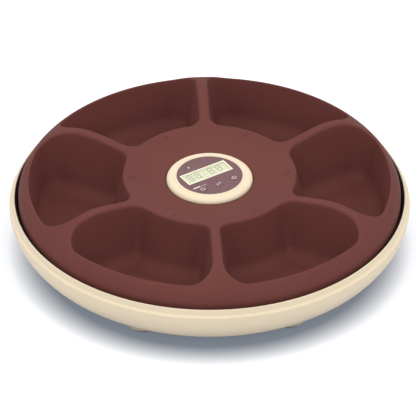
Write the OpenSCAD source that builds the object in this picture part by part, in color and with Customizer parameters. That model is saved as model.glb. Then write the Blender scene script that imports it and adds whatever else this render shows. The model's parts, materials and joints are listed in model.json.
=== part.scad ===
// Six-meal automatic pet feeder: a tray of six bowls that turns on a battery driven base.
// Millimetres, +Z up. The origin is on the ground under the centre of the feeder.
// The display reads from the -Y side. The ribs of the tray point along 0, 60 ... 300 degrees.

/* [Base] */
// Largest radius of the base
base_r = 162.7; // [162:0.1:163.5]
// Height of the rim's top edge above the ground
lip_z = 51; // [50.5:0.1:51.5]
// Inner radius of the rim's lip
lip_in_r = 158.4; // [158.2:0.1:158.6]
// Height of the underside above the ground
under_z = 3.5; // [3:0.1:4]
// Wall thickness of the lower casing
shell_t = 2.6; // [2.2:0.1:2.8]

/* [Tray] */
// Outer radius of the tray
tray_r = 155.5; // [155:0.1:155.8]
// Height of the tray's highest ring
crest_z = 80.7; // [80:0.1:82]
// Radius of the tray's highest ring
crest_r = 111.5; // [110:0.5:113]
// Wall thickness of the tray
tray_t = 2.4; // [2:0.1:2.6]
// Inner radius of a bowl at its top edge
bowl_in_r = 71; // [70:0.5:72]
// Outer radius of a bowl at its top edge
bowl_out_r = 147; // [146:0.5:148]
// Width of a rib between two bowls
rib_w = 9; // [8.5:0.1:10]
// Corner radius of a bowl next to the hub
corner_in_r = 12; // [12:0.5:13]
// Corner radius of a bowl next to the rim
corner_out_r = 18; // [16:0.5:20]
// Height of the bowl floors above the ground
bowl_floor_z = 28; // [27.5:0.1:29]

/* [Control head] */
// Outer radius of the bezel
bezel_r = 35.1; // [34.9:0.1:35.2]
// Radius of the panel face
panel_r = 26.9; // [26.5:0.1:27]
// Width of the display window
lcd_w = 42.4; // [41:0.1:42.8]
// Depth of the display window
lcd_h = 14.6; // [14:0.1:15]
// Distance of the display's centre behind the feeder's centre
lcd_y = 4.9; // [4.5:0.1:5]
// Distance of the keys in front of the feeder's centre
key_y = -13.6; // [-14:0.1:-13.4]
// Spacing of the keys
key_pitch = 15.3; // [15:0.1:15.6]
// Radius of a key
key_r = 3.9; // [3.6:0.1:4]

/* [Drive] */
// Pressure angle of every gear
pressure = 25; // [24:1:26]
// Play between two meshing teeth
backlash = 0.14; // [0.1:0.01:0.2]
// Teeth of the turntable's internal gear
ring_teeth = 96; // [96:96]
// Teeth of every pinion
pinion_teeth = 12; // [12:12]

/* [Batteries] */
// Diameter of a cell
cell_d = 26.2; // [25.5:0.1:26.2]
// Length of a cell with its nub
cell_l = 50; // [49.5:0.1:50]

/* [Feet] */
// Radius of a rubber foot
foot_r = 10.8; // [10:0.1:11]
// Radius of the circle of feet
foot_circle_r = 120; // [118:1:121]

/* [Hidden] */
$fn = 96;
tiny = 0.01;
through = 200;

cream = [0.91, 0.86, 0.76];
maroon = [0.47, 0.28, 0.26];
mauve = [0.52, 0.41, 0.43];
black = [0.09, 0.08, 0.08];
white_pom = [0.93, 0.93, 0.9];
steel = [0.72, 0.73, 0.75];
brass = [0.8, 0.66, 0.35];
pcb_green = [0.1, 0.38, 0.22];

// Heights, from the ground up
floor_top_z = under_z + 3;
foot_seat_z = under_z - 0.5;
pod_z = under_z - 1.3;
floor_r = 123;
cell_axis_z = 20.3;
box_top_z = 35;
deck_z = 21;
deck_t = 2;
deck_r = 147;
shell_top_z = lip_z - 6.5;
plate_z = 35.2;
plate_t = 2;
can_z = plate_z + plate_t;
can_h = 12.4;
top_plate_z = 54;
tower_top_z = 56;
glide_z = 57;
ring_top_z = 66;
tray_seat_z = 66;
spigot_top_z = 65.9;
dome_z = 73.4;
panel_top_z = 73.1;
panel_t = 1.1;
shelf_z = panel_top_z - panel_t;
pcb_z = 61;
pcb_t = 1.6;
tray_skirt_z = 45;

// Radii in the tower and the turntable
tower_r = 64;
tower_wall = 2.2;
spigot_r = 34;
spigot_in_r = 31.5;
ring_hub_r = spigot_r + 0.06;
ring_out_r = 56;
flange_r = 63.5;
tray_hole_r = bezel_r + 0.4;
flag_r = 60;
lug_r = 52.5;
sensor_angle = 270;
tray_lug_angles = [90, 210, 330];
tower_boss_angles = [60, 120, 240, 300];
tower_boss_r = 57.8;
deck_post_r = 104;
pilot_r = 1.5;
screw_clear_r = 1.7;
post_r = 4.5;
post_foot_z = 14;
pcb_post_r = 26;
pcb_post_start = 90;
pcb_screw_r = 1.1;
lcd_base_z = 68.4;
lens_z = 72;
led_at = [-8.4, 18.4];
led_r = 0.6;

// Gear train: modules, tooth counts and the places of the axes
ring_m = 1;
mod_a = 0.8;
mod_b = 0.6;
mod_c = 0.5;
teeth_a = 40;
teeth_b = 50;
teeth_c = 56;
addendum = 0.9;
dedendum = 1.15;
dir_a = 200;
dir_b = 235;
dir_c = 260;
output_at = [0, ring_m * (ring_teeth - pinion_teeth) / 2];
gear_2_at = output_at + mod_a * (teeth_a + pinion_teeth) / 2 * [cos(dir_a), sin(dir_a)];
gear_1_at = gear_2_at + mod_b * (teeth_b + pinion_teeth) / 2 * [cos(dir_b), sin(dir_b)];
motor_at = gear_1_at + mod_c * (teeth_c + pinion_teeth) / 2 * [cos(dir_c), sin(dir_c)];
axle_r = 1.5;
axle_play = 0.06;
shaft_r = 3;
motor_shaft_r = 1;
bush_r = 5;
spindle_r = 1.8;
pinion_z = 57.4;
pinion_h = 6;
can_r = 12.2;
gearbox_screw_r = 1.2;
head_seat = 1.2;
gearbox_bosses = [[22, 28], [-44, 34.5], [-12, 6], [-45, -14]];
wire_r = 0.8;
battery_slot_at = [40, -18];
battery_hole_at = [13, -10];
motor_hole_at = [-5, -10];
wire_hole_r = 3.4;

// Battery bay
bay_x = 52.8;
bay_y = 27;
bay_wall = 1.4;
cell_y = 13.5;
contact_t = 0.4;
spring_l = 4.6;
hinge_y = -27.4;
hinge_z = 5;
hinge_pin_r = 1;
pin_l = 1.8;
barrel_r = 1.5;
door_x = 52.5;
door_y = 28.4;
door_gap = 0.3;
notch_r = 7;
notch_t = 1.4;
deck_head_z = 9;

// Curves ------------------------------------------------------------------------------------

// Point and direction on a cubic curve
function curve_at(p, t) = pow(1 - t, 3) * p[0] + 3 * pow(1 - t, 2) * t * p[1]
    + 3 * (1 - t) * t * t * p[2] + pow(t, 3) * p[3];
function curve_dir(p, t) = pow(1 - t, 2) * (p[1] - p[0]) + 2 * (1 - t) * t * (p[2] - p[1])
    + t * t * (p[3] - p[2]);

// The curve as n steps, moved sideways by d: to the right of its direction
function curve(p, n, d = 0) = [for (i = [0:n]) let (t = i / n, v = curve_dir(p, t))
    curve_at(p, t) + d * [v[1], -v[0]] / norm(v)];

function reversed(list) = [for (i = [len(list) - 1:-1:0]) list[i]];
function arc(c, r, a0, a1, n) = [for (i = [0:n]) let (a = a0 + (a1 - a0) * i / n)
    c + r * [cos(a), sin(a)]];

// Tray surface: a shallow dish from the hub up to the crest, then the outer slope
tray_hub_z = lip_z + 18.8;
dish = [[tray_hole_r, tray_hub_z], [66, lip_z + 21.6], [98, crest_z], [crest_r, crest_z]];
slope = [[crest_r, crest_z], [crest_r + 24, crest_z], [tray_r, lip_z + 14], [tray_r, lip_z + 2]];
dish_steps = 5;
slope_steps = 7;

// Side of the base, from the ledge down to the underside
side = [[base_r, shell_top_z], [base_r, 28], [146, 10], [122, under_z]];

// Outline of a bowl, centred on +X and grown sideways by g
in_centre_r = bowl_in_r + corner_in_r;
out_centre_r = bowl_out_r - corner_out_r;
in_turn = 30 - asin((rib_w / 2 + corner_in_r) / in_centre_r);
out_turn = 30 - asin((rib_w / 2 + corner_out_r) / out_centre_r);
in_centre = in_centre_r * [cos(in_turn), sin(in_turn)];
out_centre = out_centre_r * [cos(out_turn), sin(out_turn)];
function flip(p) = [p[0], -p[1]];
function half_bowl(g) = concat(
    arc([0, 0], bowl_out_r + g, 0, out_turn, 4),
    arc(out_centre, corner_out_r + g, out_turn + 16, 120, 5),
    arc(in_centre, corner_in_r + g, 120, 180 + in_turn - 14, 4),
    arc([0, 0], bowl_in_r - g, in_turn, 0, 3));
function bowl_outline(g) = let (h = half_bowl(g)) concat(h, [for (i = [len(h) - 2:-1:1]) flip(h[i])]);

// Solid through level loops of points, each [z, growth]
module bowl_solid(levels) {
    loops = [for (l = levels) [for (p = bowl_outline(l[1])) [p[0], p[1], l[0]]]];
    n = len(loops[0]);
    m = len(loops);
    polyhedron(
        points = [for (l = loops) each l],
        faces = concat([[for (i = [0:n - 1]) i]],
            [for (k = [0:m - 2]) for (i = [0:n - 1]) let (j = (i + 1) % n)
                [k * n + i, (k + 1) * n + i, (k + 1) * n + j, k * n + j]],
            [[for (i = [n - 1:-1:0]) (m - 1) * n + i]]),
        convexity = 6);
}

// Directions along a path, and the directions to its side that are also square to ref
function ahead(path) = let (m = len(path)) [for (i = [0:m - 1])
    let (v = path[min(i + 1, m - 1)] - path[max(i - 1, 0)]) v / norm(v)];
function beside(path, ref) = [for (v = ahead(path)) let (s = cross(v, ref)) s / norm(s)];

// Tube of radius r swept along a path that never runs along ref
module tube(path, r, sides = 8, ref = [0, 1, 0]) {
    m = len(path);
    forward = ahead(path);
    side = beside(path, ref);
    points = [for (i = [0:m - 1]) let (u = cross(side[i], forward[i])) for (k = [0:sides - 1])
        path[i] + r * (cos(360 * k / sides) * side[i] + sin(360 * k / sides) * u)];
    polyhedron(points = points,
        faces = concat([[for (k = [0:sides - 1]) k]],
            [for (i = [0:m - 2]) for (k = [0:sides - 1]) let (j = (k + 1) % sides)
                [i * sides + k, (i + 1) * sides + k, (i + 1) * sides + j, i * sides + j]],
            [[for (k = [sides - 1:-1:0]) (m - 1) * sides + k]]),
        convexity = 4);
}

// Gears -------------------------------------------------------------------------------------

function roll(r_base, r) = r <= r_base ? 0 : let (a = acos(r_base / r)) tan(a) * 180 / PI - a;

// Half the angle that a tooth takes up at radius r
function half_tooth(m, n, r, play) = 90 / n + roll(m * n / 2 * cos(pressure), m * n / 2)
    - roll(m * n / 2 * cos(pressure), r) - play / (m * n) * 180 / PI;

function tooth(m, n, top, root, play) = let (rp = m * n / 2, r0 = rp - root * m, r1 = rp + top * m,
    radii = [for (i = [0:3]) r0 + (r1 - r0) * i / 3])
    concat([for (r = radii) r * [cos(half_tooth(m, n, r, play)), -sin(half_tooth(m, n, r, play))]],
        [for (r = reversed(radii)) r * [cos(half_tooth(m, n, r, play)), sin(half_tooth(m, n, r, play))]]);

function spin(p, a) = [p[0] * cos(a) - p[1] * sin(a), p[0] * sin(a) + p[1] * cos(a)];

module gear_outline(m, n, turn, top = addendum, root = dedendum, play = backlash / 2) {
    one = tooth(m, n, top, root, play);
    polygon([for (i = [0:n - 1]) for (p = one) spin(p, turn + 360 * i / n)]);
}

// Turn of a gear of n2 teeth that meshes with one of n1 teeth turned by turn1
function mesh_turn(n1, turn1, n2, direction) = direction + 180 - (180 - n1 * (direction - turn1)) / n2;

// Hairline cuts along the middle of the ribs, which part a round moulding into six simple solids
module hairline_cuts() {
    for (a = [0, 60, 120]) rotate(a) block(-through, through, -tiny, tiny, 0, through);
}

module ring_of(count, r, start = 0) {
    for (i = [0:count - 1]) rotate(start + 360 * i / count) translate([r, 0, 0]) children();
}

module pipe(r_out, r_in, z0, z1) {
    translate([0, 0, z0]) linear_extrude(z1 - z0) difference() {
        circle(r_out);
        circle(r_in);
    }
}

module rod(r, z0, z1) {
    translate([0, 0, z0]) cylinder(r = r, h = z1 - z0);
}

module block(x0, x1, y0, y1, z0, z1) {
    translate([x0, y0, z0]) cube([x1 - x0, y1 - y0, z1 - z0]);
}

module pan_head_screw(head_r, head_h, shank_r, shank_l) {
    difference() {
        rotate_extrude() polygon(concat([[0, -head_h], [head_r - 0.5, -head_h]],
            [[head_r, 0.5 - head_h], [head_r, 0], [shank_r, 0], [shank_r, shank_l - 1],
                [0.3, shank_l], [0, shank_l]]));
        for (a = [0, 90]) rotate(a) block(-head_r * 0.6, head_r * 0.6, -0.35, 0.35, -head_h - 1, 0.8 - head_h);
    }
}

// Base --------------------------------------------------------------------------------------

module base_shell() {
    outer = curve(side, 20);
    inner = curve(side, 20, shell_t);
    recess_z = under_z + 1.6;
    color(cream) difference() {
        union() {
            rotate_extrude($fn = 180) polygon(concat([[0, under_z]], reversed(outer),
                [for (p = inner) if (p[1] > floor_top_z + 0.2) p], [[floor_r, floor_top_z], [0, floor_top_z]]));
            ring_of(6, foot_circle_r, 30) rod(foot_r + 1.7, pod_z, floor_top_z + 1.5);
            ring_of(6, deck_post_r) rod(post_r + 0.5, floor_top_z - 1, post_foot_z);
            pipe(tower_r + 2, tower_r + 0.2, floor_top_z - 1, floor_top_z + 2);
        }
        // battery opening
        block(-door_x - door_gap, door_x + door_gap, hinge_y - barrel_r - 0.2, door_y + door_gap, 0, post_foot_z);
        for (s = [-1, 1]) translate([s * (door_x - 1), hinge_y, hinge_z]) rotate([0, s * 90, 0])
            cylinder(r = hinge_pin_r + 0.06, h = pin_l + 1.4);
        // finger notch at the door's free edge
        translate([0, door_y + 2, 0]) rod(notch_r, under_z - 1, under_z + notch_t);
        // seats of the rubber feet
        ring_of(6, foot_circle_r, 30) rod(foot_r, 0, foot_seat_z);
        // screw holes
        ring_of(6, deck_post_r) {
            rod(3.8, 0, deck_head_z);
            rod(screw_clear_r, 0, post_foot_z + 1);
        }
        for (a = tower_boss_angles) rotate(a) translate([tower_boss_r, 0, 0]) {
            rod(3.6, 0, recess_z);
            rod(screw_clear_r, 0, floor_top_z + 1);
        }
    }
}

module rim_ring() {
    ledge_z = lip_z - 5;
    tongue_z = lip_z - 9;
    tongue_t = 1.2;
    lip_round = 0.6;
    color(cream) difference() {
        rotate_extrude($fn = 180) polygon(concat(
            [[lip_in_r, tongue_z], [lip_in_r + tongue_t, tongue_z], [lip_in_r + tongue_t, shell_top_z]],
            [[base_r - 0.4, shell_top_z], [base_r - 0.05, shell_top_z + 0.15], [base_r - 0.4, shell_top_z + 0.5]],
            [[lip_in_r + 2.1, ledge_z], [lip_in_r + 1.8, ledge_z + 0.5]],
            arc([lip_in_r + lip_round, lip_z - lip_round], lip_round, 10, 170, 6)));
        hairline_cuts();
    }
}

// Flat floor under the tray, screwed to the casing's posts
module deck_pan() {
    color(black) difference() {
        union() {
            pipe(deck_r, tower_r + 0.3, deck_z, deck_z + deck_t);
            ring_of(6, deck_post_r) rod(post_r, post_foot_z, deck_z + tiny);
            pipe(tower_r + 1.9, tower_r + 0.3, deck_z - 4, deck_z + tiny);
        }
        ring_of(6, deck_post_r) rod(pilot_r, post_foot_z - 1, deck_z);
    }
}

// Thin dark skin that lines the casing's wall beside the tray
module deck_liner() {
    liner_r = lip_in_r - 0.2;
    liner_t = 1.3;
    bend_z = 33;
    wall_z = 37.5;
    top_z = lip_z - 1.2;
    color(black) rotate_extrude($fn = 180) polygon([[deck_r + 0.1, deck_z], [liner_r - 1.9, bend_z],
        [liner_r, wall_z], [liner_r, top_z], [liner_r - liner_t, top_z], [liner_r - liner_t, wall_z + 0.5],
        [liner_r - 1.9 - liner_t, bend_z + 0.6], [deck_r + 0.1, deck_z + deck_t]]);
}

module hub_tower() {
    tower_in_r = tower_r - tower_wall;
    color(white_pom * 0.8) difference() {
        union() {
            rotate_extrude() polygon([[tower_in_r, floor_top_z], [tower_r, floor_top_z],
                [tower_r, tower_top_z], [spigot_r, tower_top_z], [spigot_r, spigot_top_z],
                [spigot_in_r, spigot_top_z], [spigot_in_r, tower_top_z], [0, tower_top_z],
                [0, top_plate_z], [tower_in_r, top_plate_z]]);
            for (a = tower_boss_angles) rotate(a) translate([tower_boss_r, 0, 0])
                rod(post_r, floor_top_z + 0.3, box_top_z - 2);
            for (p = gearbox_bosses) translate(p) rod(3.5, can_z, top_plate_z + 0.6);
        }
        for (a = tower_boss_angles) rotate(a) translate([tower_boss_r, 0, 0])
            rod(pilot_r, 0, deck_z + 3);
        for (p = gearbox_bosses) translate(p) rod(gearbox_screw_r, 0, top_plate_z - 4);
        translate(output_at) rod(bush_r, top_plate_z - 4, through);
        for (p = [gear_2_at, gear_1_at]) translate(p) rod(axle_r, top_plate_z - 4, top_plate_z + 1);
        for (p = [battery_hole_at, motor_hole_at]) translate(p) rod(wire_hole_r, top_plate_z - 4, through);
    }
}

module glide_ring() {
    color(white_pom) pipe(ring_out_r - 0.4, ring_out_r - 5.6, tower_top_z, glide_z);
}

module battery_box() {
    color([0.25, 0.25, 0.27]) difference() {
        block(-bay_x - bay_wall, bay_x + bay_wall, -bay_y - bay_wall, bay_y + bay_wall, floor_top_z + 0.1,
            box_top_z);
        block(-bay_x, bay_x, -bay_y, bay_y, 0, box_top_z - bay_wall);
        // clearance over the door's hinge edge
        block(-bay_x, bay_x, -bay_y - 0.9, bay_y, 0, floor_top_z + 1);
        // wire slot
        translate(battery_slot_at) rod(2.2, box_top_z - 5, box_top_z + 5);
    }
}

module cell(x_flat, side_x, row) {
    nub_l = 1.8;
    translate([x_flat, row * cell_y, cell_axis_z]) rotate([0, side_x * 90, 0]) {
        color([0.2, 0.22, 0.26]) cylinder(d = cell_d, h = cell_l - nub_l);
        color(steel) cylinder(r = 3.3, h = cell_l);
    }
}

cell_start = bay_x - contact_t - spring_l;
module battery_1() { cell(-cell_start, 1, 1); }
module battery_2() { cell(-cell_start + cell_l, 1, 1); }
module battery_3() { cell(cell_start, -1, -1); }
module battery_4() { cell(cell_start - cell_l, -1, -1); }

module battery_springs() {
    turns = 3;
    steps = 14;
    wire = 0.45;
    pitch = (spring_l - 2 * wire) / turns;
    color(steel) for (s = [-1, 1]) translate([s * (bay_x - contact_t - wire), -s * cell_y, cell_axis_z])
        rotate([0, -s * 90, 0])
            tube([for (i = [0:turns * steps]) let (a = 360 * i / steps, r = 7 - 2.4 * i / (turns * steps))
                [r * cos(a), r * sin(a), pitch * i / steps]], wire, 6, [0, 0, 1]);
}

module battery_plates() {
    color(steel) for (sx = [-1, 1], sy = [-1, 1]) let (x = sx * (bay_x - contact_t / 2))
        block(x - contact_t / 2, x + contact_t / 2, sy * cell_y - 9, sy * cell_y + 9, cell_axis_z - 9,
            cell_axis_z + 9);
}

module battery_door() {
    door_t = 3;
    color(cream) difference() {
        union() {
            block(-door_x, door_x, hinge_y, door_y, under_z, under_z + door_t);
            translate([-door_x, hinge_y, hinge_z]) rotate([0, 90, 0]) cylinder(r = barrel_r, h = 2 * door_x);
            translate([-door_x - pin_l, hinge_y, hinge_z]) rotate([0, 90, 0])
                cylinder(r = hinge_pin_r, h = 2 * (door_x + pin_l));
        }
        // grip grooves
        for (i = [0:3]) block(-10, 10, 16 + 2.4 * i, 17 + 2.4 * i, 0, under_z + 0.6);
        // finger notch
        translate([0, door_y + 2, 0]) rod(notch_r, 0, under_z + notch_t);
    }
}

module foot(i) {
    color([0.15, 0.15, 0.15]) rotate(30 + 60 * i) translate([foot_circle_r, 0, 0])
        rotate_extrude() polygon(concat([[0, 0]], arc([foot_r - 0.8, 0.8], 0.8, -90, 0, 5),
            [[foot_r, foot_seat_z], [0, foot_seat_z]]));
}
module foot_1() { foot(0); }
module foot_2() { foot(1); }
module foot_3() { foot(2); }
module foot_4() { foot(3); }
module foot_5() { foot(4); }
module foot_6() { foot(5); }

module deck_screws() {
    color(steel) ring_of(6, deck_post_r) translate([0, 0, deck_head_z]) pan_head_screw(3.2, 1.8, pilot_r, 11);
}

module tower_screws() {
    color(steel) for (a = tower_boss_angles) rotate(a) translate([tower_boss_r, 0, under_z + 1.6])
        pan_head_screw(3.2, 1.5, pilot_r, 14);
}

// Drive -------------------------------------------------------------------------------------

module gearbox_plate() {
    boss_top_z = 40;
    cup_top_z = 44;
    color(white_pom) difference() {
        union() {
            intersection() {
                rod(60.5, plate_z, plate_z + plate_t);
                block(-55, 28, -22, 61, 0, through);
            }
            translate(motor_at) pipe(can_r + 1.8, can_r, plate_z + 1, cup_top_z);
            translate(output_at) rod(4, plate_z + 1, boss_top_z);
            for (p = [gear_2_at, gear_1_at]) translate(p) rod(3, plate_z + 1, boss_top_z);
        }
        for (p = gearbox_bosses) translate(p) {
            rod(gearbox_screw_r + 0.2, 0, through);
            rod(2.7, 0, plate_z + head_seat);
        }
        translate(output_at) rod(axle_r + axle_play, plate_z + 0.8, through);
        for (p = [gear_2_at, gear_1_at]) translate(p) rod(axle_r, plate_z + 0.8, through);
        // terminal slot in the motor cup
        translate(motor_at) block(-3, 3, -20, 0, can_z, through);
    }
}

module gearbox_screws() {
    color(steel) for (p = gearbox_bosses) translate([p[0], p[1], plate_z + head_seat])
        pan_head_screw(2.4, 1.1, gearbox_screw_r, 8);
}

module gear_axles() {
    color(steel) for (p = [gear_2_at, gear_1_at]) translate(p) rod(axle_r, plate_z + 0.8, 55);
}

module output_bush() {
    color(brass) translate(output_at) {
        pipe(bush_r, shaft_r + axle_play, top_plate_z, tower_top_z);
        pipe(bush_r + 1, shaft_r + axle_play, tower_top_z, tower_top_z + 0.8);
    }
}

module output_gear() {
    color(white_pom) translate(output_at) {
        translate([0, 0, 42]) linear_extrude(3) gear_outline(mod_a, teeth_a, 0);
        rod(shaft_r, 40.3, pinion_z);
        rod(axle_r, plate_z + 1, 41);
        rod(spindle_r, pinion_z - 0.4, pinion_z + pinion_h);
    }
}

module drive_pinion() {
    color(white_pom) translate(output_at) translate([0, 0, pinion_z]) linear_extrude(pinion_h) difference() {
        gear_outline(ring_m, pinion_teeth, 90);
        circle(spindle_r);
    }
}

module idler(wheel_m, wheel_n, wheel_z, wheel_h, pin_m, pin_turn, pin_z0, pin_z1) {
    color(white_pom) difference() {
        union() {
            translate([0, 0, wheel_z]) linear_extrude(wheel_h) gear_outline(wheel_m, wheel_n, 0);
            translate([0, 0, pin_z0]) linear_extrude(pin_z1 - pin_z0)
                gear_outline(pin_m, pinion_teeth, pin_turn);
        }
        rod(axle_r + axle_play, 0, through);
    }
}

module gear_2() {
    translate(gear_2_at) idler(mod_b, teeth_b, 46.9, 2, mod_a,
        mesh_turn(teeth_a, 0, pinion_teeth, dir_a), 41, 47);
}

module gear_1() {
    translate(gear_1_at) idler(mod_c, teeth_c, 50.8, 2, mod_b,
        mesh_turn(teeth_b, 0, pinion_teeth, dir_b), 46.4, 51);
}

module motor_pinion() {
    color(brass) translate(motor_at) translate([0, 0, 50.6]) linear_extrude(2.9) difference() {
        gear_outline(mod_c, pinion_teeth, mesh_turn(teeth_c, 0, pinion_teeth, dir_c));
        circle(motor_shaft_r);
    }
}

module motor_shaft() {
    color(steel) translate(motor_at) rod(motor_shaft_r, can_z + 2, 53.5);
}

module motor_can() {
    color(steel * 0.9) translate(motor_at) difference() {
        union() {
            rod(can_r, can_z, can_z + can_h);
            rod(3, can_z, can_z + can_h + 0.6);
        }
        rod(motor_shaft_r + axle_play, can_z + 1.9, through);
    }
}

module turntable() {
    color(white_pom * 0.95) difference() {
        union() {
            pipe(ring_out_r, 40, glide_z, ring_top_z - 1);
            pipe(flange_r, ring_hub_r, ring_top_z - 2, ring_top_z);
            ring_of(6, flag_r, 30) block(-0.5, 0.5, -3, 3, 58.8, ring_top_z - 1);
            for (a = tray_lug_angles) rotate(a)
                block(lug_r - 2.5, lug_r + 2.5, -4, 4, ring_top_z - 1, ring_top_z + 2.4);
        }
        translate([0, 0, glide_z - 1]) linear_extrude(ring_top_z - 2 - glide_z + 1)
            gear_outline(ring_m, ring_teeth, 90, dedendum + 0.1, addendum, -backlash / 2);
    }
}

module index_sensor() {
    color(black) rotate(sensor_angle) translate([flag_r, 0, 0]) {
        block(-3.2, 3.2, -4.5, 4.5, tower_top_z, tower_top_z + 2);
        for (x = [-3.2, 1.6]) block(x, x + 1.6, -3.2, 3.2, tower_top_z + 1.9, tower_top_z + 6.6);
    }
}

// Tray --------------------------------------------------------------------------------------

// Profile of everything under the tray's surface, sunk by d
module under_surface(d) {
    polygon(concat([[30, tray_hub_z - d]], curve(dish, dish_steps, d), curve(slope, slope_steps, d),
        [[tray_r - d, 20], [30, 20]]));
}

module tray_skin() {
    rotate_extrude($fn = 180) polygon(concat(curve(dish, dish_steps), curve(slope, slope_steps),
        [[tray_r, tray_skirt_z], [tray_r - tray_t, tray_skirt_z]],
        reversed(curve(slope, slope_steps, tray_t)), reversed(curve(dish, dish_steps, tray_t)),
        [[tray_hole_r + tray_t, tray_hub_z - 2.8], [tray_hole_r + tray_t, tray_seat_z],
            [tray_hole_r, tray_seat_z]]));
}

module bowl_cups() {
    intersection() {
        ring_of(6, 0, 30) bowl_solid([[bowl_floor_z - tray_t, -8], [29.5, -4.4], [36, -2.9], [84, 3.7]]);
        rotate_extrude($fn = 180) under_surface(1.2);
    }
}

module tray() {
    seat_r = 60.6;
    color(maroon) difference() {
        union() {
            tray_skin();
            bowl_cups();
            intersection() {
                union() {
                    pipe(seat_r, seat_r - 2.2, tray_seat_z, through);
                    for (a = tray_lug_angles, s = [-1, 1]) rotate(a) translate([0, s * 5.3, 0])
                        block(lug_r - 7.5, seat_r - 1.6, -1, 1, tray_seat_z, through);
                }
                rotate_extrude($fn = 180) under_surface(1.2);
            }
        }
        ring_of(6, 0, 30) bowl_solid([[bowl_floor_z, -10.6], [29.2, -8.3], [32, -6.5], [37, -5.3], [84, 1.3]]);
        hairline_cuts();
    }
}

// Control head ------------------------------------------------------------------------------

module control_housing() {
    wall_in_r = spigot_in_r - 1.8;
    color(white_pom * 0.7) difference() {
        union() {
            rod(spigot_in_r - 0.2, tower_top_z, tower_top_z + 1.5);
            pipe(spigot_in_r - 0.2, wall_in_r, tower_top_z, lcd_base_z);
            ring_of(3, pcb_post_r, pcb_post_start) rod(2.6, tower_top_z + 1, pcb_z);
        }
        for (p = [battery_hole_at, motor_hole_at]) translate(p) rod(wire_hole_r, 0, through);
        ring_of(3, pcb_post_r, pcb_post_start) rod(pcb_screw_r, tower_top_z + 1.6, through);
    }
}

module control_pcb() {
    color(pcb_green) difference() {
        rod(29.4, pcb_z, pcb_z + pcb_t);
        ring_of(3, pcb_post_r, pcb_post_start) rod(pcb_screw_r + 0.1, 0, through);
    }
}

module pcb_screws() {
    color(steel) ring_of(3, pcb_post_r, pcb_post_start) translate([0, 0, pcb_z + pcb_t]) mirror([0, 0, 1])
        pan_head_screw(2, 1.1, pcb_screw_r, 4.7);
}

module pcb_chips() {
    top = pcb_z + pcb_t;
    color(black) {
        block(-4.5, 4.5, -5, 4, pcb_z - 1.4, pcb_z);
        block(9, 14, 4, 8, pcb_z - 1.2, pcb_z);
        block(-20, -15, -22, -18.5, top, top + 1);
        block(15, 20, -22, -18.5, top, top + 1);
        for (i = [0:4]) block(-12 + 5.4 * i, -10.4 + 5.4 * i, -21, -20.2, top, top + 0.6);
    }
}

module buzzer() {
    color(black) translate([-16, 12, 0]) difference() {
        rod(4.5, pcb_z - 3, pcb_z);
        rod(0.8, pcb_z - 4, pcb_z - 2);
    }
}

module tact_switches() {
    color(black) for (i = [-1:1]) translate([i * key_pitch, key_y, pcb_z + pcb_t]) difference() {
        block(-3, 3, -3, 3, 0, 3.5);
        rod(1.9, 0.8, 4);
    }
}

module key(i) {
    color(mauve) translate([i * key_pitch, key_y, 0]) {
        rod(key_r, shelf_z - 0.5, panel_top_z + 0.1);
        rod(key_r + 0.7, shelf_z - 0.8, shelf_z - 2 * tiny);
        rod(1.6, pcb_z + pcb_t + 1.7, shelf_z - 0.4);
    }
}
module key_down() { key(-1); }
module key_set() { key(0); }
module key_up() { key(1); }

module status_led() {
    color("white") translate(led_at) rod(led_r, pcb_z + pcb_t, panel_top_z);
}

module lcd_frame() {
    half_w = 23.4;
    half_h = 9.6;
    wall = 2;
    color(white_pom) difference() {
        block(-half_w, half_w, lcd_y - half_h, lcd_y + half_h, pcb_z + pcb_t, lcd_base_z);
        block(-half_w + wall, half_w - wall, lcd_y - half_h + wall, lcd_y + half_h - wall, pcb_z + pcb_t + 1,
            through);
    }
}

module lcd_module() {
    half_w = 21.8;
    half_h = 8.4;
    color([0.78, 0.8, 0.66])
        block(-half_w, half_w, lcd_y - half_h, lcd_y + half_h, lcd_base_z, lens_z - 0.1);
}

module lcd_window() {
    color([0.9, 0.92, 0.85, 0.5])
        block(-lcd_w / 2, lcd_w / 2, lcd_y - lcd_h / 2, lcd_y + lcd_h / 2, lens_z, panel_top_z - 0.2);
}

module panel_overlay() {
    color(mauve) difference() {
        rod(panel_r, shelf_z, panel_top_z);
        block(-lcd_w / 2, lcd_w / 2, lcd_y - lcd_h / 2, lcd_y + lcd_h / 2, 0, through);
        for (i = [-1:1]) translate([i * key_pitch, key_y, 0]) rod(key_r + 0.15, 0, through);
        translate(led_at) rod(led_r, 0, through);
    }
}

module bezel_ring() {
    bottom_z = ring_top_z + 0.6;
    shelf_in_r = panel_r - 1.1;
    dip_r = panel_r + 3.6;
    dip_z = dome_z - 0.75;
    dip = [[panel_r + 0.6, dome_z], [panel_r + 1.6, dome_z - 0.3], [dip_r - 1.3, dip_z], [dip_r, dip_z]];
    roll = [[dip_r, dip_z], [dip_r + 2.4, dip_z], [bezel_r, dip_z - 0.9], [bezel_r, tray_hub_z - 0.4]];
    color(cream) rotate_extrude() polygon(concat([[panel_r, dome_z]], curve(dip, 4), curve(roll, 7),
        [[bezel_r, bottom_z], [spigot_r - 0.2, bottom_z], [spigot_r - 0.2, spigot_top_z]],
        [[spigot_in_r - 0.1, spigot_top_z], [spigot_in_r - 0.1, lcd_base_z + 2]],
        [[panel_r + 1, shelf_z - 0.8], [shelf_in_r, shelf_z - 0.8], [shelf_in_r, shelf_z], [panel_r, shelf_z]]));
}

// Wires -------------------------------------------------------------------------------------

battery_route = [[40, -18, 35.2], [40, -18, 42], [37, -17, 47], [30, -15, 50], [20, -12, 51], [14.5, -10.5, 52.5],
    [13, -10, 56], [13, -10, 61]];
motor_route = [[-33.2, -10.3, 42], [-31.5, -13.5, 44], [-25, -16, 46.5], [-17, -15.5, 49], [-10, -13, 51],
    [-6, -11, 53.5], [-5, -10, 56.5], [-5, -10, 59.6]];

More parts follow.
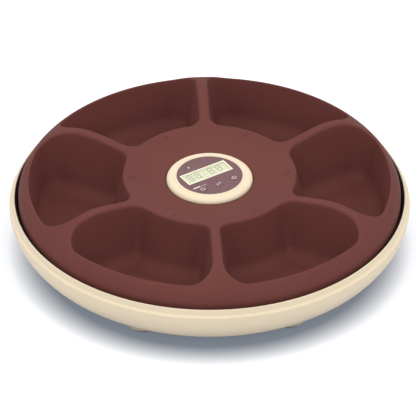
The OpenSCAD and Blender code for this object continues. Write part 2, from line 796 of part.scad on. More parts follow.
module lead(route) {
    side = beside(route, [0, 1, 0]);
    for (s = [-1, 1]) color(s < 0 ? "red" : black)
        tube([for (i = [0:len(route) - 1]) route[i] + s * (wire_r + 0.1) * side[i]], wire_r);
}
module battery_lead() { lead(battery_route); }
module motor_lead() { lead(motor_route); }

base_shell();
rim_ring();
deck_pan();
deck_liner();
hub_tower();
glide_ring();
turntable();
tray();
control_housing();
bezel_ring();
panel_overlay();
lcd_window();
lcd_module();
lcd_frame();
key_down();
key_set();
key_up();
tact_switches();
status_led();
control_pcb();
pcb_chips();
buzzer();
index_sensor();
gearbox_plate();
gear_axles();
output_bush();
output_gear();
drive_pinion();
gear_2();
gear_1();
motor_pinion();
motor_shaft();
motor_can();
battery_box();
battery_1();
battery_2();
battery_3();
battery_4();
battery_springs();
battery_plates();
battery_door();
foot_1();
foot_2();
foot_3();
foot_4();
foot_5();
foot_6();
deck_screws();
tower_screws();
gearbox_screws();
pcb_screws();
battery_lead();
motor_lead();
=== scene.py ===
"""Looks for the automatic pet feeder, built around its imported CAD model. Metres, +Z up."""
import json
import math

import bmesh
import bpy
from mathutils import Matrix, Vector


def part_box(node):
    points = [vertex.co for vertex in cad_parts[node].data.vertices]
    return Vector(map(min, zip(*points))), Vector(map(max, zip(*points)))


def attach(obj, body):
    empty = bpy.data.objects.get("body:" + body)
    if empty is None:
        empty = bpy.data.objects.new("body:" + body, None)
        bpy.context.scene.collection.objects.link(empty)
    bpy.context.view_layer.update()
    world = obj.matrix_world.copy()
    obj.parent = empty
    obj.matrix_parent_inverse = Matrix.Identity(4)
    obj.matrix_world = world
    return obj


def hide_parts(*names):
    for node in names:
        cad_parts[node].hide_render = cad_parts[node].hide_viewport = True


MM = 0.001
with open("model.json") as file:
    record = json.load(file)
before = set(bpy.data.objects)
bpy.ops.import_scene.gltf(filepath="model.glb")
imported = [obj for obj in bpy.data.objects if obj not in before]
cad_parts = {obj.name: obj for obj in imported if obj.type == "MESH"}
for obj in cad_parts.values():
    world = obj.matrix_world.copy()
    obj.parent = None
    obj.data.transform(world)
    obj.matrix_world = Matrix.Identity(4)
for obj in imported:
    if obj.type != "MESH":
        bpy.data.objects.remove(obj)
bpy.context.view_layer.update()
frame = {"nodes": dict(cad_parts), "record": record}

# Dimensions, from the frame where it has them ------------------------------------------------
tray_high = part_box("tray")[1]
window_low, window_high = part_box("lcd_window")
key_low, key_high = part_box("key_up")

# The tray's surface: a hub ring, a crest and a rolled rim with a straight skirt
TRAY_R = tray_high.x
CREST_Z = tray_high.z
CREST_R = 111.5 * MM
LIP_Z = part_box("rim_ring")[1].z
SKIRT_Z = 45 * MM
HOLE_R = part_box("bezel_ring")[1].x + 0.4 * MM
HOLE_EDGE = 0.8 * MM
HOLE_WALL = 2.2 * MM
HUB_Z = LIP_Z + 18.8 * MM
TRAY_T = 2.4 * MM

# Its six bowls
BOWLS = 6
SECTOR = 360 / BOWLS
BOWL_IN_R = 71 * MM
BOWL_OUT_R = 147 * MM
RIB_HALF = 4.5 * MM
CORNER_IN = 12 * MM
CORNER_OUT = 18 * MM
BOWL_FLOOR_Z = 28 * MM
BOWL_EDGE = 2.6 * MM
BOWL_DRAFT = 6.5 * MM
BOWL_FILLET = 12 * MM
WALL_LEAN = 8  # degrees off upright, where the wall meets its two rounded ends

# The bowls' grid ends on these two circles, and plain rings carry on from them
GRID_IN_R = BOWL_IN_R - 7 * MM
GRID_OUT_R = BOWL_OUT_R + 4.6 * MM

# The seat and lug ribs under the hub
SEAT_Z = 66 * MM
SEAT_IN_R = 58.4 * MM
SEAT_OUT_R = 60.6 * MM
SEAT_SINK = 1.2 * MM
LUG_TURNS = (90, 210, 330)

# The panel, whose marks are drawn in millimetres
PANEL_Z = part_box("panel_overlay")[1].z
LCD_W = (window_high.x - window_low.x) / MM
LCD_H = (window_high.y - window_low.y) / MM
LCD_Y = (window_high.y + window_low.y) / 2 / MM
KEY_PITCH = (key_high.x + key_low.x) / 2 / MM
KEY_Y = (key_high.y + key_low.y) / 2 / MM
PRINT_T = 0.06 * MM
KEY_PRINT_T = 0.05 * MM


# Mesh helpers --------------------------------------------------------------------------------
def mesh_object(name, verts, faces, smooth=40):
    """A mesh object from points and faces, smooth across edges under that many degrees."""
    mesh = bpy.data.meshes.new(name)
    mesh.from_pydata([tuple(v) for v in verts], [], faces)
    mesh.validate()
    mesh.update()
    obj = bpy.data.objects.new(name, mesh)
    bpy.context.scene.collection.objects.link(obj)
    shade(obj, smooth)
    return obj


def shade(obj, degrees):
    """Smooth shading with sharp edges above the given angle."""
    mesh = obj.data
    mesh.polygons.foreach_set("use_smooth", [True] * len(mesh.polygons))
    bm = bmesh.new()
    bm.from_mesh(mesh)
    limit = math.radians(degrees)
    for edge in bm.edges:
        edge.smooth = len(edge.link_faces) == 2 and edge.calc_face_angle(0) < limit
    bm.to_mesh(mesh)
    bm.free()


def recalc_normals(obj):
    """Joins points that coincide and turns every face outwards."""
    bm = bmesh.new()
    bm.from_mesh(obj.data)
    bmesh.ops.remove_doubles(bm, verts=bm.verts, dist=1e-7)
    bmesh.ops.recalc_face_normals(bm, faces=bm.faces)
    bm.to_mesh(obj.data)
    bm.free()


def baked_mesh(obj):
    """A copy of the object's mesh with its modifiers, or its letter shapes, made real."""
    return bpy.data.meshes.new_from_object(obj.evaluated_get(bpy.context.evaluated_depsgraph_get()))


def solidify(obj, thickness):
    """Gives a skin its wall thickness on the inside."""
    modifier = obj.modifiers.new("wall", "SOLIDIFY")
    modifier.thickness = thickness
    modifier.offset = -1
    modifier.use_even_offset = True
    modifier.use_quality_normals = True
    mesh = baked_mesh(obj)
    obj.modifiers.clear()
    obj.data = mesh


def lathe(name, profile, segments=128):
    """A solid of revolution about Z from a closed outline of (r, z) points."""
    turns = [math.tau * s / segments for s in range(segments)]
    verts = [(r * math.cos(a), r * math.sin(a), z) for r, z in profile for a in turns]
    faces = []
    for k in range(len(profile)):
        low, high = k * segments, (k + 1) % len(profile) * segments
        for s in range(segments):
            t = (s + 1) % segments
            faces.append([low + s, low + t, high + t, high + s])
    obj = mesh_object(name, verts, faces)
    recalc_normals(obj)
    return obj


def cubic(p, t):
    """A point on a cubic curve in (r, z)."""
    a, b, c, d = (1 - t) ** 3, 3 * (1 - t) ** 2 * t, 3 * (1 - t) * t * t, t ** 3
    return tuple(a * p[0][k] + b * p[1][k] + c * p[2][k] + d * p[3][k] for k in (0, 1))


def arc(centre, radius, start, end, steps):
    """Points on an arc, in degrees."""
    angles = [math.radians(start + (end - start) * i / steps) for i in range(steps + 1)]
    return [(centre[0] + radius * math.cos(a), centre[1] + radius * math.sin(a)) for a in angles]


def turned(point, degrees):
    """A point turned about the origin."""
    a = math.radians(degrees)
    x, y = point
    return (x * math.cos(a) - y * math.sin(a), x * math.sin(a) + y * math.cos(a))


def between(a, b, t):
    """The point a share t of the way from a to b."""
    return (a[0] + (b[0] - a[0]) * t, a[1] + (b[1] - a[1]) * t)


def spaced(a, b, steps):
    """Points between a and b, ends left out."""
    return [between(a, b, i / steps) for i in range(1, steps)]


# Camera --------------------------------------------------------------------------------------
VIEW_TURN = math.radians(-33)
VIEW_RISE = math.radians(35)
VIEW_WIDTH = 0.338
VIEW_DISTANCE = 1.5
VIEW_CENTRE_Z = 40.9 * MM
VIEW_SHIFT = 1.3 * MM


def make_camera():
    """A parallel view from the front left, with the feeder a little right of the middle."""
    camera_data = bpy.data.cameras.new("camera")
    camera_data.type = "ORTHO"
    camera_data.ortho_scale = VIEW_WIDTH
    camera_data.clip_end = 10
    camera = bpy.data.objects.new("camera", camera_data)
    bpy.context.scene.collection.objects.link(camera)
    flat = math.cos(VIEW_RISE)
    back = Vector((math.sin(VIEW_TURN) * flat, -math.cos(VIEW_TURN) * flat, math.sin(VIEW_RISE)))
    right = Vector((math.cos(VIEW_TURN), math.sin(VIEW_TURN), 0))
    target = Vector((0, 0, VIEW_CENTRE_Z)) - right * VIEW_SHIFT
    camera.rotation_euler = (-back).to_track_quat("-Z", "Y").to_euler()
    camera.location = target + back * VIEW_DISTANCE
    bpy.context.scene.camera = camera


# Shader helpers ------------------------------------------------------------------------------
def srgb(r, g, b):
    """Scene-linear colour from 0..255 display values."""
    def linear(c):
        """One channel of it."""
        c /= 255
        return c / 12.92 if c <= 0.04045 else ((c + 0.055) / 1.055) ** 2.4
    return (linear(r), linear(g), linear(b), 1)


def shifted(colour, gain):
    """A colour made lighter or darker."""
    return tuple(min(1, c * gain) for c in colour[:3]) + (1,)


def node_tree(name):
    """A new material, with its nodes, links and shader."""
    material = bpy.data.materials.new(name)
    material.use_nodes = True
    nodes = material.node_tree.nodes
    return material, nodes, material.node_tree.links, nodes["Principled BSDF"]


def object_coords(nodes):
    """A point's place on its own object."""
    return nodes.new("ShaderNodeTexCoord").outputs["Object"]


def maths(nodes, links, operation, *values):
    """A maths node over sockets or plain numbers."""
    node = nodes.new("ShaderNodeMath")
    node.operation = operation
    for socket, value in zip(node.inputs, values):
        if isinstance(value, (int, float)):
            socket.default_value = value
        else:
            links.new(value, socket)
    return node.outputs[0]


def mixed(nodes, links, factor, low, high):
    """Mixes two colours by a 0..1 socket; low may be a socket itself."""
    mix = nodes.new("ShaderNodeMix")
    mix.data_type = "RGBA"
    links.new(factor, mix.inputs["Factor"])
    if isinstance(low, tuple):
        mix.inputs["A"].default_value = low
    else:
        links.new(low, mix.inputs["A"])
    mix.inputs["B"].default_value = high
    return mix.outputs["Result"]


def noise(nodes, links, scale, detail, coords):
    """Soft noise from 0 to 1."""
    texture = nodes.new("ShaderNodeTexNoise")
    texture.inputs["Scale"].default_value = scale
    texture.inputs["Detail"].default_value = detail
    texture.inputs["Roughness"].default_value = 0.55
    links.new(coords, texture.inputs["Vector"])
    return texture.outputs["Fac"]


def ramp(nodes, links, factor, low, high, out_low=0.0, out_high=1.0):
    """Maps a socket's low..high to out_low..out_high."""
    node = nodes.new("ShaderNodeMapRange")
    links.new(factor, node.inputs["Value"])
    for key, value in zip(("From Min", "From Max", "To Min", "To Max"), (low, high, out_low, out_high)):
        node.inputs[key].default_value = value
    return node.outputs["Result"]


def float_curve(nodes, links, factor, points):
    """Maps a 0..1 socket through straight lines between points."""
    node = nodes.new("ShaderNodeFloatCurve")
    curve = node.mapping.curves[0]
    curve.points[0].location = points[0]
    curve.points[1].location = points[-1]
    for point in points[1:-1]:
        curve.points.new(*point)
    for point in curve.points:
        point.handle_type = "VECTOR"
    node.mapping.update()
    links.new(factor, node.inputs["Value"])
    return node.outputs["Value"]


# Materials -----------------------------------------------------------------------------------
GRAIN_SCALE = 900
GRAIN_STRENGTH = 0.06
GRAIN_DEPTH = 0.2 * MM
EDGE_WEAR = 0.12
WORN_GAIN = 1.9


def moulded_plastic(name, colour, roughness=0.45, variation=0.05, specular=0.5):
    """Moulded plastic: a spark-eroded grain, slow colour drift and paler worn edges."""
    material, nodes, links, shader = node_tree(name)
    coords = object_coords(nodes)
    drift = ramp(nodes, links, noise(nodes, links, 14, 2, coords), 0.3, 0.7)
    tone = mixed(nodes, links, drift, shifted(colour, 1 - variation), shifted(colour, 1 + variation))
    edge = ramp(nodes, links, nodes.new("ShaderNodeNewGeometry").outputs["Pointiness"], 0.53, 0.62)
    scuffs = ramp(nodes, links, noise(nodes, links, 160, 4, coords), 0.45, 0.7)
    worn = ramp(nodes, links, maths(nodes, links, "MULTIPLY", edge, scuffs), 0, 1, 0, EDGE_WEAR)
    links.new(mixed(nodes, links, worn, tone, shifted(colour, WORN_GAIN)), shader.inputs["Base Color"])
    patches = noise(nodes, links, 40, 4, coords)
    links.new(ramp(nodes, links, patches, 0.3, 0.7, roughness - 0.05, roughness + 0.07),
              shader.inputs["Roughness"])
    shader.inputs["Specular IOR Level"].default_value = specular
    bump = nodes.new("ShaderNodeBump")
    bump.inputs["Strength"].default_value = GRAIN_STRENGTH
    bump.inputs["Distance"].default_value = GRAIN_DEPTH
    links.new(noise(nodes, links, GRAIN_SCALE, 2, coords), bump.inputs["Height"])
    links.new(bump.outputs["Normal"], shader.inputs["Normal"])
    return material


def metal(name, colour, roughness=0.35):
    """Plated or turned metal with fine streaks."""
    material, nodes, links, shader = node_tree(name)
    coords = object_coords(nodes)
    shader.inputs["Metallic"].default_value = 1
    tone = mixed(nodes, links, noise(nodes, links, 300, 3, coords), shifted(colour, 0.85), colour)
    links.new(tone, shader.inputs["Base Color"])
    streaks = noise(nodes, links, 120, 4, coords)
    links.new(ramp(nodes, links, streaks, 0.3, 0.7, roughness - 0.1, roughness + 0.1),
              shader.inputs["Roughness"])
    return material


def clear(name, colour, roughness=0.06):
    """Clear lens seen over a display."""
    material, nodes, links, shader = node_tree(name)
    smears = noise(nodes, links, 90, 4, object_coords(nodes))
    links.new(ramp(nodes, links, smears, 0.35, 0.7, roughness, roughness + 0.08),
              shader.inputs["Roughness"])
    shader.inputs["Base Color"].default_value = colour
    shader.inputs["Alpha"].default_value = 0.12
    return material


def paint(obj, material):
    """Gives a new piece its only material."""
    obj.data.materials.clear()
    obj.data.materials.append(material)


def paint_node(name, material):
    """Gives a CAD node's slots a new material."""
    obj = frame["nodes"][name]
    if not obj.material_slots:
        obj.data.materials.append(material)
    for each in obj.material_slots:
        each.material = material


# Tray ----------------------------------------------------------------------------------------
DISH = [(HOLE_R, HUB_Z), (66 * MM, LIP_Z + 21.6 * MM), (98 * MM, CREST_Z), (CREST_R, CREST_Z)]
SLOPE = [(CREST_R, CREST_Z), (CREST_R + 24 * MM, CREST_Z), (TRAY_R, LIP_Z + 14 * MM),
         (TRAY_R, LIP_Z + 2 * MM)]
STEPS = {"rim": 16, "out": 14, "side": 14, "in": 10, "hub": 10}


def surface_height(r):
    """Height of the tray's surface at radius r, on its two curves."""
    curve = DISH if r < CREST_R else SLOPE
    low, high = 0.0, 1.0
    for _ in range(40):
        middle = (low + high) / 2
        if cubic(curve, middle)[0] < r:
            low = middle
        else:
            high = middle
    return cubic(curve, (low + high) / 2)[1]


def half_outline(g):
    """Half of a bowl's outline, centred on +X and grown by g, from the rim's middle to the hub's."""
    corner_in, corner_out = max(CORNER_IN + g, 4 * MM), max(CORNER_OUT + g, 7 * MM)
    rim_r, hub_r, side = BOWL_OUT_R + g, BOWL_IN_R - g, RIB_HALF - g
    in_turn = SECTOR / 2 - math.degrees(math.asin((side + corner_in) / (hub_r + corner_in)))
    out_turn = SECTOR / 2 - math.degrees(math.asin((side + corner_out) / (rim_r - corner_out)))
    in_centre = turned((hub_r + corner_in, 0), in_turn)
    out_centre = turned((rim_r - corner_out, 0), out_turn)
    square_on = 90 + SECTOR / 2
    rim = arc((0, 0), rim_r, 0, out_turn, STEPS["rim"])
    out = arc(out_centre, corner_out, out_turn, square_on, STEPS["out"])
    inner = arc(in_centre, corner_in, square_on, 180 + in_turn, STEPS["in"])
    hub = arc((0, 0), hub_r, in_turn, 0, STEPS["hub"])
    return rim + out[1:] + spaced(out[-1], inner[0], STEPS["side"]) + inner + hub[1:]


def half_border():
    """Half of the sector's border, with one point for each of half_outline's."""
    corner, tail = STEPS["out"] // 2, STEPS["in"] // 2
    rim = arc((0, 0), GRID_OUT_R, 0, SECTOR / 2, STEPS["rim"] + corner)
    hub = arc((0, 0), GRID_IN_R, SECTOR / 2, 0, STEPS["hub"] + STEPS["in"] - tail)
    return rim + spaced(rim[-1], hub[0], STEPS["out"] - corner + STEPS["side"] + tail) + hub


def mirrored(half):
    """A whole outline from the half of it on one side of +X."""
    return half + [(x, -y) for x, y in half[-2:0:-1]]


def on_surface(row, drop=0):
    """A row of (x, y) points laid on the tray's surface, or a little under it."""
    return [(x, y, surface_height(math.hypot(x, y)) - drop) for x, y in row]


def bowl_rows():
    """Rows of (x, y, z) points from the sector's border down to the bowl's floor."""
    border, edge = mirrored(half_border()), mirrored(half_outline(BOWL_EDGE))
    rows = [on_surface([between(a, b, t) for a, b in zip(border, edge)]) for t in (0, 0.3, 0.6, 0.85, 1)]
    upright = 90 - WALL_LEAN
    edge_steps, wall_steps, foot_steps = 6, 8, 7
    for i in range(1, edge_steps + 1):
        a = math.radians(upright * i / edge_steps)
        row = mirrored(half_outline(BOWL_EDGE * (1 - math.sin(a))))
        rows.append(on_surface(row, BOWL_EDGE * (1 - math.cos(a))))
    top = rows[-1]
    lean = math.radians(WALL_LEAN)
    foot_z = BOWL_FLOOR_Z + BOWL_FILLET * (1 - math.sin(lean))
    for i in range(1, wall_steps + 1):
        t = i / wall_steps
        row = mirrored(half_outline(-BOWL_DRAFT * t))
        rows.append([(x, y, start[2] + (foot_z - start[2]) * t) for (x, y), start in zip(row, top)])
    for i in range(1, foot_steps + 1):
        a = math.radians(WALL_LEAN + upright * i / foot_steps)
        inset = BOWL_FILLET * (math.cos(lean) - math.cos(a))
        row = mirrored(half_outline(-BOWL_DRAFT - inset))
        rows.append([(x, y, BOWL_FLOOR_Z + BOWL_FILLET * (1 - math.sin(a))) for x, y in row])
    for extra in (1 * MM, 2.5 * MM):
        row = mirrored(half_outline(-BOWL_DRAFT - BOWL_FILLET - extra))
        rows.append([(x, y, BOWL_FLOOR_Z) for x, y in row])
    return rows


def border_angles(radius):
    """Angles, in degrees, of the border's points that lie on one of the grid's end circles."""
    angles = set()
    for sector in range(BOWLS):
        for x, y in mirrored(half_border()):
            if abs(math.hypot(x, y) - radius) < 1e-6:
                angle = math.degrees(math.atan2(y, x)) + SECTOR * (sector + 0.5)
                angles.add(round(angle % 360, 5) % 360)
    return sorted(angles)


def hub_profile():
    """(r, z) points from the grid to the edge of the central hole and down to the seat."""
    edge_r = HOLE_R + HOLE_EDGE
    radii = [GRID_IN_R + (edge_r - GRID_IN_R) * i / 8 for i in range(9)]
    points = [(r, surface_height(r)) for r in radii]
    z = points[-1][1]
    for a in map(math.radians, (30, 60, 90)):
        points.append((HOLE_R + HOLE_EDGE * (1 - math.sin(a)), z - HOLE_EDGE * (1 - math.cos(a))))
    return points + [(HOLE_R, z - HOLE_WALL), (HOLE_R, SEAT_Z)]


def rim_profile():
    """(r, z) points from the grid over the rolled rim to the foot of the skirt."""
    start = [t / 200 for t in range(201) if cubic(SLOPE, t / 200)[0] > GRID_OUT_R][0]
    points = [(GRID_OUT_R, surface_height(GRID_OUT_R))]
    points += [cubic(SLOPE, start + (1 - start) * i / 8) for i in range(1, 9)]
    return points + [(TRAY_R, LIP_Z - 2 * MM), (TRAY_R, SKIRT_Z)]


def add_rings(verts, faces, angles, profile, inward):
    """Adds a ring of points for each (r, z) of a profile, and the faces between the rings."""
    rings = []
    for r, z in profile:
        rings.append(list(range(len(verts), len(verts) + len(angles))))
        for a in map(math.radians, angles):
            verts.append((r * math.cos(a), r * math.sin(a), z))
    n = len(angles)
    for low, high in zip(rings, rings[1:]):
        for i in range(n):
            j = (i + 1) % n
            face = [low[i], low[j], high[j], high[i]]
            faces.append(face if inward else face[::-1])


def make_tray():
    """The tray's shell: six bowls, ribs, hub and rolled rim as one skin, given its wall thickness."""
    verts, faces = [], []
    rows = bowl_rows()
    count = len(rows[0])
    for sector in range(BOWLS):
        base = len(verts)
        for row in rows:
            for x, y, z in row:
                verts.append((*turned((x, y), SECTOR * (sector + 0.5)), z))
        for k in range(len(rows) - 1):
            low, high = base + k * count, base + (k + 1) * count
            for i in range(count):
                j = (i + 1) % count
                faces.append([low + i, low + j, high + j, high + i])
        faces.append([base + (len(rows) - 1) * count + i for i in range(count)])
    add_rings(verts, faces, border_angles(GRID_IN_R), hub_profile(), inward=True)
    add_rings(verts, faces, border_angles(GRID_OUT_R), rim_profile(), inward=False)
    tray_shell = mesh_object("tray_shell", verts, faces)
    recalc_normals(tray_shell)
    if sum(face.normal.z * face.area for face in tray_shell.data.polygons) < 0:
        tray_shell.data.flip_normals()
    solidify(tray_shell, TRAY_T)
    shade(tray_shell, 40)
    paint(tray_shell, MAROON)
    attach(tray_shell, "tray")
    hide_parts("tray")


def make_tray_underside():
    """The ring that seats the tray on the turntable, and the ribs that its lugs drive."""
    profile = [(SEAT_IN_R, SEAT_Z), (SEAT_OUT_R, SEAT_Z)]
    profile += [(r, surface_height(r) - SEAT_SINK) for r in (SEAT_OUT_R, SEAT_IN_R)]
    seat = lathe("tray_seat", profile)
    in_r, out_r, gap_half, rib_half = 45, 59, 5.3, 1
    outlines = []
    for turn in LUG_TURNS:
        for middle in (-gap_half, gap_half):
            corners = rectangle(in_r, out_r, middle - rib_half, middle + rib_half)
            outlines.append([turned(corner, turn) for corner in corners])
    ribs = marks("tray_lug_ribs", outlines, SEAT_Z, surface_height(in_r * MM) - SEAT_SINK, MAROON, "tray")
    paint(seat, MAROON)
    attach(seat, "tray")
    for piece in (seat, ribs):
        shade(piece, 30)


NUMBER_R = 64.5 * MM
NUMBER_SIZE = 8.4 * MM
NUMBER_DEPTH = 0.15 * MM


def make_numbers():
    """Raised numbers on the tray's hub, one for each bowl, that read from outside."""
    slope = math.atan2(surface_height(NUMBER_R + MM) - surface_height(NUMBER_R - MM), 2 * MM)
    for k in range(BOWLS):
        curve = bpy.data.curves.new(f"number_{k + 1}", "FONT")
        curve.body = str(k + 1)
        curve.size = NUMBER_SIZE
        curve.extrude = NUMBER_DEPTH
        curve.align_x = "CENTER"
        curve.align_y = "CENTER"
        curve.resolution_u = 3
        text = bpy.data.objects.new(f"number_{k + 1}", curve)
        bpy.context.scene.collection.objects.link(text)
        turn = math.radians(270 + SECTOR * k)
        text.rotation_euler = (-slope, 0, turn + math.pi / 2)
        text.location = (NUMBER_R * math.cos(turn), NUMBER_R * math.sin(turn),
                         surface_height(NUMBER_R) + 0.02 * MM)
        bpy.context.view_layer.update()
        mesh = baked_mesh(text)
        mesh.transform(text.matrix_world)
        piece = bpy.data.objects.new(f"tray_number_{k + 1}", mesh)
        bpy.context.scene.collection.objects.link(piece)
        bpy.data.objects.remove(text)
        recalc_normals(piece)
        shade(piece, 30)
        paint(piece, MAROON_MARK)
        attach(piece, "tray")


# Thin flat marks -----------------------------------------------------------------------------
def prism(outline, low, high, hole=None):
    """Points and faces of an outline, in mm, extruded from low to high, with or without a hole."""
    n = len(outline)
    loops = [outline] if hole is None else [outline, hole]
    verts = [(x * MM, y * MM, z) for loop in loops for z in (low, high) for x, y in loop]
    ring = [(i, (i + 1) % n) for i in range(n)]
    faces = [[i, j, n + j, n + i] for i, j in ring]
    if hole is None:
        return verts, faces + [list(range(n))[::-1], list(range(n, 2 * n))]
    faces += [[2 * n + j, 2 * n + i, 3 * n + i, 3 * n + j] for i, j in ring]
    faces += [[n + i, n + j, 3 * n + j, 3 * n + i] for i, j in ring]
    return verts, faces + [[j, i, 2 * n + i, 2 * n + j] for i, j in ring]


def marks(name, outlines, low, high, material, body):
    """One piece made of many thin extruded outlines; an outline may be an (outer, inner) pair."""
    verts, faces = [], []
    for outline in outlines:
        pair = outline if isinstance(outline, tuple) else (outline, None)
        new_verts, new_faces = prism(pair[0], low, high, pair[1])
        faces += [[v + len(verts) for v in face] for face in new_faces]
        verts += new_verts
    piece = mesh_object(name, verts, faces)
    recalc_normals(piece)
    shade(piece, 30)
    paint(piece, material)
    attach(piece, body)
    return piece


def oval(x, y, rx, ry, steps=32):
    """An oval outline."""
    turns = [math.tau * i / steps for i in range(steps)]
    return [(x + rx * math.cos(a), y + ry * math.sin(a)) for a in turns]


def oval_ring(x, y, rx, ry, width):
    """An oval line of that width."""
    return (oval(x, y, rx, ry), oval(x, y, rx - width, ry - width))


def bar(a, b, width, steps=6):
    """A line from a to b with round ends."""
    turn = math.degrees(math.atan2(b[1] - a[1], b[0] - a[0]))
    return arc(b, width / 2, turn - 90, turn + 90, steps) + arc(a, width / 2, turn + 90, turn + 270, steps)


def rectangle(x0, x1, y0, y1):
    """A rectangle's outline."""
    return [(x0, y0), (x1, y0), (x1, y1), (x0, y1)]


def triangle(x, y, size, turn):
    """An equal-sided triangle about (x, y), with one corner at that turn."""
    return [(x + dx, y + dy) for dx, dy in (turned((size, 0), turn + d) for d in (0, 120, 240))]


def segment_digit(x, y, width, height, thick, gap=0.12):
    """The seven bars of a display digit, with pointed ends."""
    w, h, t = width / 2, height / 2, thick / 2
    bars = []
    for level in (y + h, y, y - h):
        left, right = x - w + gap + t, x + w - gap - t
        bars.append([(left - t, level), (left, level - t), (right, level - t), (right + t, level),
                     (right, level + t), (left, level + t)])
    for at in (x - w, x + w):
        for end in (y - h, y):
            low, high = end + gap + t, end + h - gap - t
            bars.append([(at, low - t), (at + t, low), (at + t, high), (at, high + t), (at - t, high),
                         (at - t, low)])
    return bars


# Display and panel marks ---------------------------------------------------------------------
DIGIT_W, DIGIT_H, DIGIT_T = 3.8, 7.3, 1.25
DIGIT_XS = (-14.5, -7.2, 5.3, 13.0)
DIGIT_Y = LCD_Y + 1.6
COLON_X, COLON_R, COLON_RISE = -0.9, 0.7, 1.7
FLAG_W = 2.4
FLAG_XS = (-14.2, -8.8, -3.6, 1.5, 7.2, 12.7)
FLAG_LOW, FLAG_HIGH = LCD_Y - 5.7, LCD_Y - 4.8
AFTERNOON_MARK = (16.9, 18.7, LCD_Y + 4.8, LCD_Y + 5.6)
BORDER_W = 0.9


def make_display():
    """Segments on the display glass, and the pale rim round its window."""
    bars = []
    for x in DIGIT_XS:
        bars += segment_digit(x, DIGIT_Y, DIGIT_W, DIGIT_H, DIGIT_T)
    bars += [oval(COLON_X, DIGIT_Y + dy, COLON_R, COLON_R, steps=16) for dy in (-COLON_RISE, COLON_RISE)]
    bars += [rectangle(x, x + FLAG_W, FLAG_LOW, FLAG_HIGH) for x in FLAG_XS]
    bars.append(rectangle(*AFTERNOON_MARK))
    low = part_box("lcd_module")[1].z
    digits = marks("lcd_segments", bars, low, low + 0.03 * MM, SEGMENT, "base")
    w, h = LCD_W / 2, LCD_H / 2
    rim = (rectangle(-w, w, LCD_Y - h, LCD_Y + h),
           rectangle(-w + BORDER_W, w - BORDER_W, LCD_Y - h + BORDER_W, LCD_Y + h - BORDER_W))
    border = marks("lcd_border", [rim], low + 0.04 * MM, PANEL_Z + 0.1 * MM, CREAM_PRINT, "base")


def key_marks(name, outlines, material, node):
    """Marks printed on a key, which travel with it."""
    key_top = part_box(node)[1].z
    marks(name, outlines, key_top, key_top + KEY_PRINT_T, material, node)


def make_panel_prints():
    """The marks printed on the panel face and on the three keys."""
    top = PANEL_Z + PRINT_T
    white = [bar((-20.8, -8.9), (-15.4, -8.9), 1.35), bar((-13.9, -8.9), (-8.8, -8.9), 0.4)]
    marks("panel_print", white, PANEL_Z, top, PRINT, "base")
    faint = [bar((-9.3, 14.1), (-6.1, 14.1), 0.5), oval_ring(-7.7, 12.6, 1.0, 0.7, 0.25)]
    marks("panel_faint_print", faint, PANEL_Z, top, FAINT_PRINT, "base")
    for node, x, inner in (("key_down", -KEY_PITCH, 1), ("key_up", KEY_PITCH, -1)):
        y = KEY_Y + 0.3
        icon = [oval_ring(x, y, 1.8, 1.8, 0.45), triangle(x + inner * 2.5, y, 0.6, 90 - inner * 90)]
        key_marks(node + "_icon", icon, PRINT, node)
    dashes = [bar((-1.6, KEY_Y - 0.5), (-0.8, KEY_Y - 0.2), 0.95),
              bar((0.9, KEY_Y + 0.2), (1.7, KEY_Y + 0.5), 0.95)]
    key_marks("key_set_icon", dashes, PRINT, "key_set")
    key_marks("key_set_ring", [oval_ring(0, KEY_Y, 3.5, 2.5, 0.3)], FAINT_PRINT, "key_set")


# Floor and light -----------------------------------------------------------------------------
FLOOR_HALF = 4
FLOOR_WHITE = (0.66, 0.66, 0.67, 1)
# The darker blue-grey floor colour is a painted shadow round the feeder; it fades to the white paper
# between the inner and outer radius below.
FLOOR_PAINTED_SHADOW = (0.10, 0.10, 0.11, 1)
FLOOR_GLOW = (0.14, 0.164, 0.2, 1)
PAINTED_SHADOW_IN_R = 138 * MM
PAINTED_SHADOW_OUT_R = 164 * MM


def make_floor():
    """White paper with a painted shadow, a soft blue-grey tone under the feeder, and a weak glow."""
    corners = [(x, y, 0) for x, y in rectangle(-FLOOR_HALF, FLOOR_HALF, -FLOOR_HALF, FLOOR_HALF)]
    floor = mesh_object("floor", corners, [(0, 1, 2, 3)])
    material, nodes, links, shader = node_tree("floor_paper")
    distance = nodes.new("ShaderNodeVectorMath")
    distance.operation = "LENGTH"
    links.new(object_coords(nodes), distance.inputs[0])
    # painted shadow: the floor's colour darkens towards the feeder, from white at the outer radius to the
    # shadow tone at the inner one
    painted_shadow_fade = ramp(nodes, links, distance.outputs["Value"], PAINTED_SHADOW_IN_R, PAINTED_SHADOW_OUT_R)
    links.new(mixed(nodes, links, painted_shadow_fade, FLOOR_PAINTED_SHADOW, FLOOR_WHITE), shader.inputs["Base Color"])
    shader.inputs["Roughness"].default_value = 0.9
    shader.inputs["Specular IOR Level"].default_value = 0.0
    shader.inputs["Emission Color"].default_value = FLOOR_GLOW
    shader.inputs["Emission Strength"].default_value = 1.0
    paint(floor, material)


# Brightness of the white surroundings by height (the sine of the angle above the horizon), in front
# of the feeder and behind it. The front is brightest about 38 degrees up.
DOME_STRENGTH = 4.2
DOME_FRONT = ((0.0, 0.0), (0.25, 0.03), (0.45, 0.5), (0.62, 1.02), (0.8, 0.5), (1.0, 0.35))
DOME_BACK = ((0.0, 0.0), (0.25, 0.35), (0.45, 0.4), (0.62, 0.15), (0.8, 0.35), (1.0, 0.35))


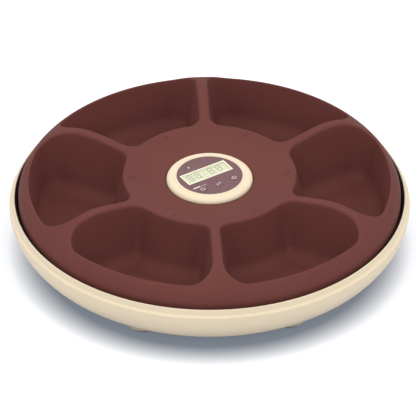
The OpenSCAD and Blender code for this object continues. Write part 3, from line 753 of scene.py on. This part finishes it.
def make_light():
    """A white dome that fades from its front profile to its back one."""
    world = bpy.data.worlds.new("studio")
    bpy.context.scene.world = world
    world.use_nodes = True
    nodes, links = world.node_tree.nodes, world.node_tree.links
    way = nodes.new("ShaderNodeSeparateXYZ")
    links.new(nodes.new("ShaderNodeTexCoord").outputs["Generated"], way.inputs["Vector"])
    # how far the direction points to the front: 1 straight ahead of the feeder, 0 straight behind it
    along_x = maths(nodes, links, "MULTIPLY", way.outputs["X"], 0.5 * math.sin(VIEW_TURN))
    along_y = maths(nodes, links, "MULTIPLY", way.outputs["Y"], -0.5 * math.cos(VIEW_TURN))
    frontness = maths(nodes, links, "ADD", maths(nodes, links, "ADD", along_x, along_y), 0.5)
    backness = maths(nodes, links, "SUBTRACT", 1.0, frontness)
    front = float_curve(nodes, links, way.outputs["Z"], DOME_FRONT)
    back = float_curve(nodes, links, way.outputs["Z"], DOME_BACK)
    total = maths(nodes, links, "ADD", maths(nodes, links, "MULTIPLY", front, frontness),
                  maths(nodes, links, "MULTIPLY", back, backness))
    background = nodes["Background"]
    links.new(maths(nodes, links, "MULTIPLY", total, DOME_STRENGTH), background.inputs["Strength"])
    background.inputs["Color"].default_value = (1, 1, 1, 1)
    view = bpy.context.scene.view_settings
    view.view_transform = "Standard"
    view.look = "None"


# Build ---------------------------------------------------------------------------------------
make_camera()
make_floor()
make_light()

MAROON = moulded_plastic("maroon_plastic", srgb(90, 49, 44), 0.7, 0.03, 0.1)
CREAM = moulded_plastic("cream_plastic", srgb(198, 183, 158), 0.45, 0.012, 0.3)
BLACK = moulded_plastic("black_plastic", srgb(14, 12, 12), 0.8, specular=0.1)
GREY = moulded_plastic("grey_plastic", srgb(190, 190, 186), 0.5)
ACETAL = moulded_plastic("acetal", srgb(226, 226, 218), 0.4, 0.02)
PANEL = moulded_plastic("panel_face", srgb(101, 75, 77), 0.6, 0.02, 0.1)
DISPLAY = moulded_plastic("display_glass", srgb(175, 173, 139), 0.4, 0.02, 0.2)
RUBBER = moulded_plastic("foot_rubber", srgb(96, 97, 98), 0.8)
BOARD = moulded_plastic("board", srgb(30, 96, 62), 0.4)
SLEEVE = moulded_plastic("cell_sleeve", srgb(60, 64, 78), 0.3)
WIRE = moulded_plastic("wire_cover", srgb(160, 40, 36), 0.4)
STEEL = metal("steel", srgb(190, 192, 196))
BRASS = metal("brass", srgb(214, 178, 98))
LENS = clear("clear_lens", srgb(240, 244, 230))
WHITE = moulded_plastic("light_pipe", srgb(240, 240, 236), 0.25, 0.01)
MAROON_MARK = moulded_plastic("maroon_mark", srgb(83, 45, 41), 0.7, specular=0.1)
SEGMENT = moulded_plastic("lcd_segment", srgb(122, 130, 102), 0.5, 0.02, 0.2)
CREAM_PRINT = moulded_plastic("cream_print", srgb(214, 210, 186), 0.5, 0.01, 0.2)
PRINT = moulded_plastic("pale_print", srgb(198, 178, 180), 0.6, 0.01, 0.2)
FAINT_PRINT = moulded_plastic("faint_print", srgb(128, 102, 105), 0.6, 0.01, 0.2)

FINISHES = {"maroon_plastic": MAROON, "cream_plastic": CREAM, "black_plastic": BLACK,
            "grey_plastic": GREY, "acetal": ACETAL, "panel_face": PANEL, "clear_lens": LENS,
            "display_glass": DISPLAY, "light_pipe": WHITE, "board": BOARD, "steel": STEEL,
            "brass": BRASS, "cell_sleeve": SLEEVE, "foot_rubber": RUBBER, "wire_cover": WIRE}
for part in frame["record"]["subparts"]:
    paint_node(part["node"], FINISHES[part["material_slot"]])

make_tray()
make_tray_underside()
make_numbers()
make_display()
make_panel_prints()
